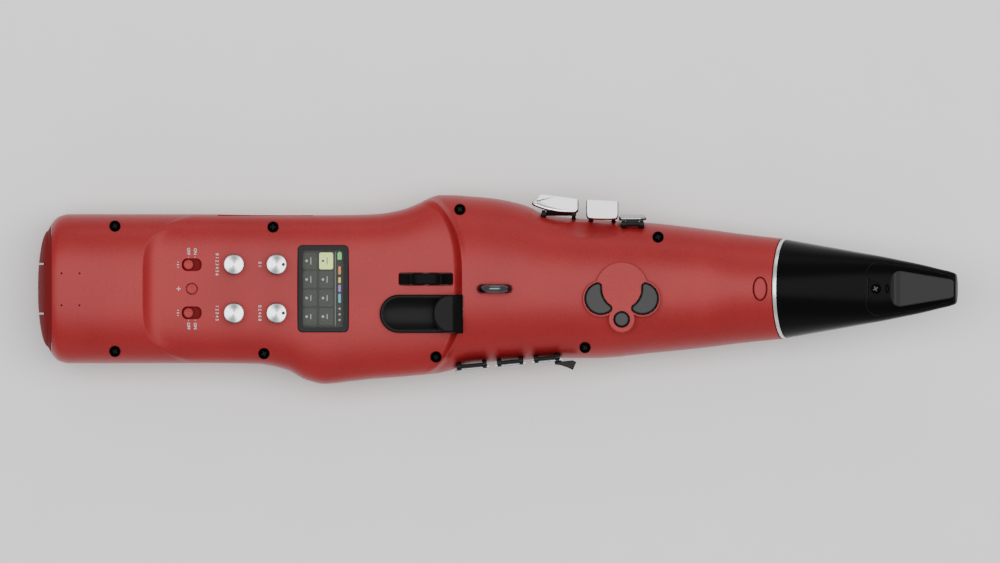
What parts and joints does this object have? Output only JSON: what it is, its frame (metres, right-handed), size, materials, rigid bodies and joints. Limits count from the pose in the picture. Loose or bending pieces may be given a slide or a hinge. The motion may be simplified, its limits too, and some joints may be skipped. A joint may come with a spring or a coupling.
{
  "type": "digital wind controller",
  "caption": "Saxophone-shaped electronic wind instrument with a pull-off mouthpiece, thumb panel with knobs, switches, pitch wheel and screen, and sprung keys.",
  "frame": {"origin": "centre of the bounding box at its bottom, on the flat front face that the instrument lies on", "axes": "+X from the end cap to the mouthpiece tip, +Y toward the palm keys, +Z out of the rear face that the thumbs touch"},
  "size_m": [0.575, 0.119, 0.0834],
  "materials": {
    "body_red": "satin metallic paint over plastic",
    "cap_red": "darker satin moulded plastic",
    "black_gloss": "polished black plastic",
    "black_satin": "satin black plastic",
    "pad_grey": "soft grey rubber",
    "reed_grey": "dark grey moulded plastic",
    "knob_silver": "satin, fine blasted",
    "ring_silver": "brushed round the ring",
    "key_chrome": "bright plated",
    "key_silver": "bright satin",
    "steel": "turned steel",
    "screw_black": "black oxide",
    "board_green": "solder mask on glass fibre",
    "screen_glass": "clear window with a dark border",
    "screen_lit": "lit display with plain tiles",
    "battery_blue": "heat-shrink sleeve"
  },
  "bodies": {
    "housing": {"rear_shell": "body_red", "front_shell": "body_red", "shell_screw_1": "screw_black", "shell_screw_2": "screw_black", "shell_screw_3": "screw_black", "shell_screw_4": "screw_black", "shell_screw_5": "screw_black", "shell_screw_6": "screw_black", "shell_screw_7": "screw_black", "shell_screw_8": "screw_black", "trim_ring": "ring_silver", "neck_socket": "black_satin", "neck_seal": "pad_grey", "panel_board": "board_green", "main_board": "board_green", "battery_pack": "battery_blue", "screen_window": "screen_glass", "screen_module": "screen_lit", "wheel_axle": "steel", "wheel_cradle": "black_satin", "thumb_rest": "black_satin", "strap_ring": "black_gloss", "palm_key_bracket": "black_satin", "side_key_bracket": "black_satin", "left_key_rod": "steel", "right_key_rod": "steel", "line_jack": "black_satin", "phones_jack": "black_satin", "data_port": "steel"},
    "mouthpiece": {"mouthpiece_body": "black_gloss", "mouthpiece_beak": "black_gloss", "reed": "reed_grey", "beak_screw": "steel"},
    "cap": {"end_cap": "cap_red"},
    "knob_1": {"knob_1": "knob_silver"},
    "knob_2": {"knob_2": "knob_silver"},
    "knob_3": {"knob_3": "knob_silver"},
    "knob_4": {"knob_4": "knob_silver"},
    "switch_1": {"switch_cap_1": "body_red"},
    "switch_2": {"switch_cap_2": "body_red"},
    "panel_button": {"panel_button": "body_red"},
    "release_button": {"release_button": "body_red"},
    "pitch_wheel": {"pitch_wheel": "black_satin"},
    "octave_neck": {"octave_pad_neck": "pad_grey"},
    "octave_tail": {"octave_pad_tail": "pad_grey"},
    "octave_round": {"octave_pad_round": "pad_grey"},
    "palm_key_1": {"palm_key_1": "key_chrome"},
    "palm_key_2": {"palm_key_2": "key_chrome"},
    "palm_key_3": {"palm_key_3": "key_chrome"},
    "side_key_1": {"side_key_1": "key_chrome"},
    "side_key_2": {"side_key_2": "key_chrome"},
    "side_key_3": {"side_key_3": "key_chrome"},
    "left_key_1": {"left_key_1": "key_silver"},
    "left_key_2": {"left_key_2": "key_silver"},
    "left_key_3": {"left_key_3": "key_silver"},
    "right_key_1": {"right_key_1": "key_silver"},
    "right_key_2": {"right_key_2": "key_silver"},
    "right_key_3": {"right_key_3": "key_silver"},
    "left_pinky_key": {"left_pinky_key": "key_silver"},
    "right_pinky_key": {"right_pinky_key": "key_silver"}
  },
  "joints": [
    {"name": "mouthpiece_pull", "type": "slide", "parent": "housing", "child": "mouthpiece", "axis": [0.9613, 0, 0.2756], "range_m": [0, 0.03]},
    {"name": "cap_pull", "type": "slide", "parent": "housing", "child": "cap", "axis": [-1, 0, 0], "range_m": [0, 0.02]},
    {"name": "knob_1_turn", "type": "hinge", "parent": "housing", "child": "knob_1", "pos_m": [-0.1651, 0.0152, 0.06], "axis": [0, 0, 1], "continuous": true},
    {"name": "knob_2_turn", "type": "hinge", "parent": "housing", "child": "knob_2", "pos_m": [-0.1651, -0.0152, 0.06], "axis": [0, 0, 1], "continuous": true},
    {"name": "knob_3_turn", "type": "hinge", "parent": "housing", "child": "knob_3", "pos_m": [-0.1384, 0.0152, 0.06], "axis": [0, 0, 1], "range_deg": [-150, 150]},
    {"name": "knob_4_turn", "type": "hinge", "parent": "housing", "child": "knob_4", "pos_m": [-0.1384, -0.0152, 0.06], "axis": [0, 0, 1], "range_deg": [-150, 150]},
    {"name": "switch_1_slide", "type": "slide", "parent": "housing", "child": "switch_1", "axis": [1, 0, 0], "range_m": [0, 0.0042]},
    {"name": "switch_2_slide", "type": "slide", "parent": "housing", "child": "switch_2", "axis": [1, 0, 0], "range_m": [0, 0.0042]},
    {"name": "panel_button_press", "type": "slide", "parent": "housing", "child": "panel_button", "axis": [0, 0, -1], "range_m": [0, 0.0008], "stiffness_N_per_m": 600},
    {"name": "release_press", "type": "slide", "parent": "housing", "child": "release_button", "axis": [0, 0, -1], "range_m": [0, 0.001], "stiffness_N_per_m": 1200},
    {"name": "wheel_turn", "type": "hinge", "parent": "housing", "child": "pitch_wheel", "pos_m": [-0.0451, 0.00604, 0.0495], "axis": [0, 1, 0], "range_deg": [-35, 35], "stiffness_Nm_per_rad": 0.02},
    {"name": "octave_neck_press", "type": "slide", "parent": "housing", "child": "octave_neck", "axis": [0, 0, -1], "range_m": [0, 0.0012], "stiffness_N_per_m": 600},
    {"name": "octave_tail_press", "type": "slide", "parent": "housing", "child": "octave_tail", "axis": [0, 0, -1], "range_m": [0, 0.0012], "stiffness_N_per_m": 600},
    {"name": "octave_round_press", "type": "slide", "parent": "housing", "child": "octave_round", "axis": [0, 0, -1], "range_m": [0, 0.0012], "stiffness_N_per_m": 600},
    {"name": "palm_key_1_press", "type": "hinge", "parent": "housing", "child": "palm_key_1", "pos_m": [0.03797, 0.04679, 0.0493], "axis": [-1, 0, 0], "range_deg": [0, 10], "stiffness_Nm_per_rad": 0.1},
    {"name": "palm_key_2_press", "type": "hinge", "parent": "housing", "child": "palm_key_2", "pos_m": [0.06515, 0.0445, 0.05148], "axis": [-1, 0, 0], "range_deg": [0, 10], "stiffness_Nm_per_rad": 0.1},
    {"name": "palm_key_3_press", "type": "hinge", "parent": "housing", "child": "palm_key_3", "pos_m": [0.08415, 0.04053, 0.05501], "axis": [-1, 0, 0], "range_deg": [0, 6], "stiffness_Nm_per_rad": 0.1},
    {"name": "side_key_1_press", "type": "hinge", "parent": "housing", "child": "side_key_1", "pos_m": [-0.0164, -0.048, 0.0562], "axis": [0.9954, 0.0958, 0], "range_deg": [0, 6], "stiffness_Nm_per_rad": 0.1},
    {"name": "side_key_2_press", "type": "hinge", "parent": "housing", "child": "side_key_2", "pos_m": [0.00761, -0.04569, 0.0562], "axis": [0.9954, 0.0958, 0], "range_deg": [0, 6], "stiffness_Nm_per_rad": 0.1},
    {"name": "side_key_3_press", "type": "hinge", "parent": "housing", "child": "side_key_3", "pos_m": [0.03048, -0.04349, 0.0562], "axis": [0.9954, 0.0958, 0], "range_deg": [0, 6], "stiffness_Nm_per_rad": 0.1},
    {"name": "left_key_1_press", "type": "hinge", "parent": "housing", "child": "left_key_1", "pos_m": [0.112, 0.0166, 0.005], "axis": [-1, 0, 0], "range_deg": [0, 7], "stiffness_Nm_per_rad": 0.1},
    {"name": "left_key_2_press", "type": "hinge", "parent": "housing", "child": "left_key_2", "pos_m": [0.088, 0.0166, 0.005], "axis": [-1, 0, 0], "range_deg": [0, 7], "stiffness_Nm_per_rad": 0.1},
    {"name": "left_key_3_press", "type": "hinge", "parent": "housing", "child": "left_key_3", "pos_m": [0.064, 0.0166, 0.005], "axis": [-1, 0, 0], "range_deg": [0, 7], "stiffness_Nm_per_rad": 0.1},
    {"name": "right_key_1_press", "type": "hinge", "parent": "housing", "child": "right_key_1", "pos_m": [-0.018, 0.0166, 0.005], "axis": [-1, 0, 0], "range_deg": [0, 7], "stiffness_Nm_per_rad": 0.1},
    {"name": "right_key_2_press", "type": "hinge", "parent": "housing", "child": "right_key_2", "pos_m": [-0.042, 0.0166, 0.005], "axis": [-1, 0, 0], "range_deg": [0, 7], "stiffness_Nm_per_rad": 0.1},
    {"name": "right_key_3_press", "type": "hinge", "parent": "housing", "child": "right_key_3", "pos_m": [-0.066, 0.0166, 0.005], "axis": [-1, 0, 0], "range_deg": [0, 7], "stiffness_Nm_per_rad": 0.1},
    {"name": "left_pinky_press", "type": "hinge", "parent": "housing", "child": "left_pinky_key", "pos_m": [0.022, 0.0166, 0.005], "axis": [-1, 0, 0], "range_deg": [0, 7], "stiffness_Nm_per_rad": 0.1},
    {"name": "right_pinky_press", "type": "hinge", "parent": "housing", "child": "right_pinky_key", "pos_m": [-0.102, 0.0166, 0.005], "axis": [-1, 0, 0], "range_deg": [0, 7], "stiffness_Nm_per_rad": 0.1}
  ]
}
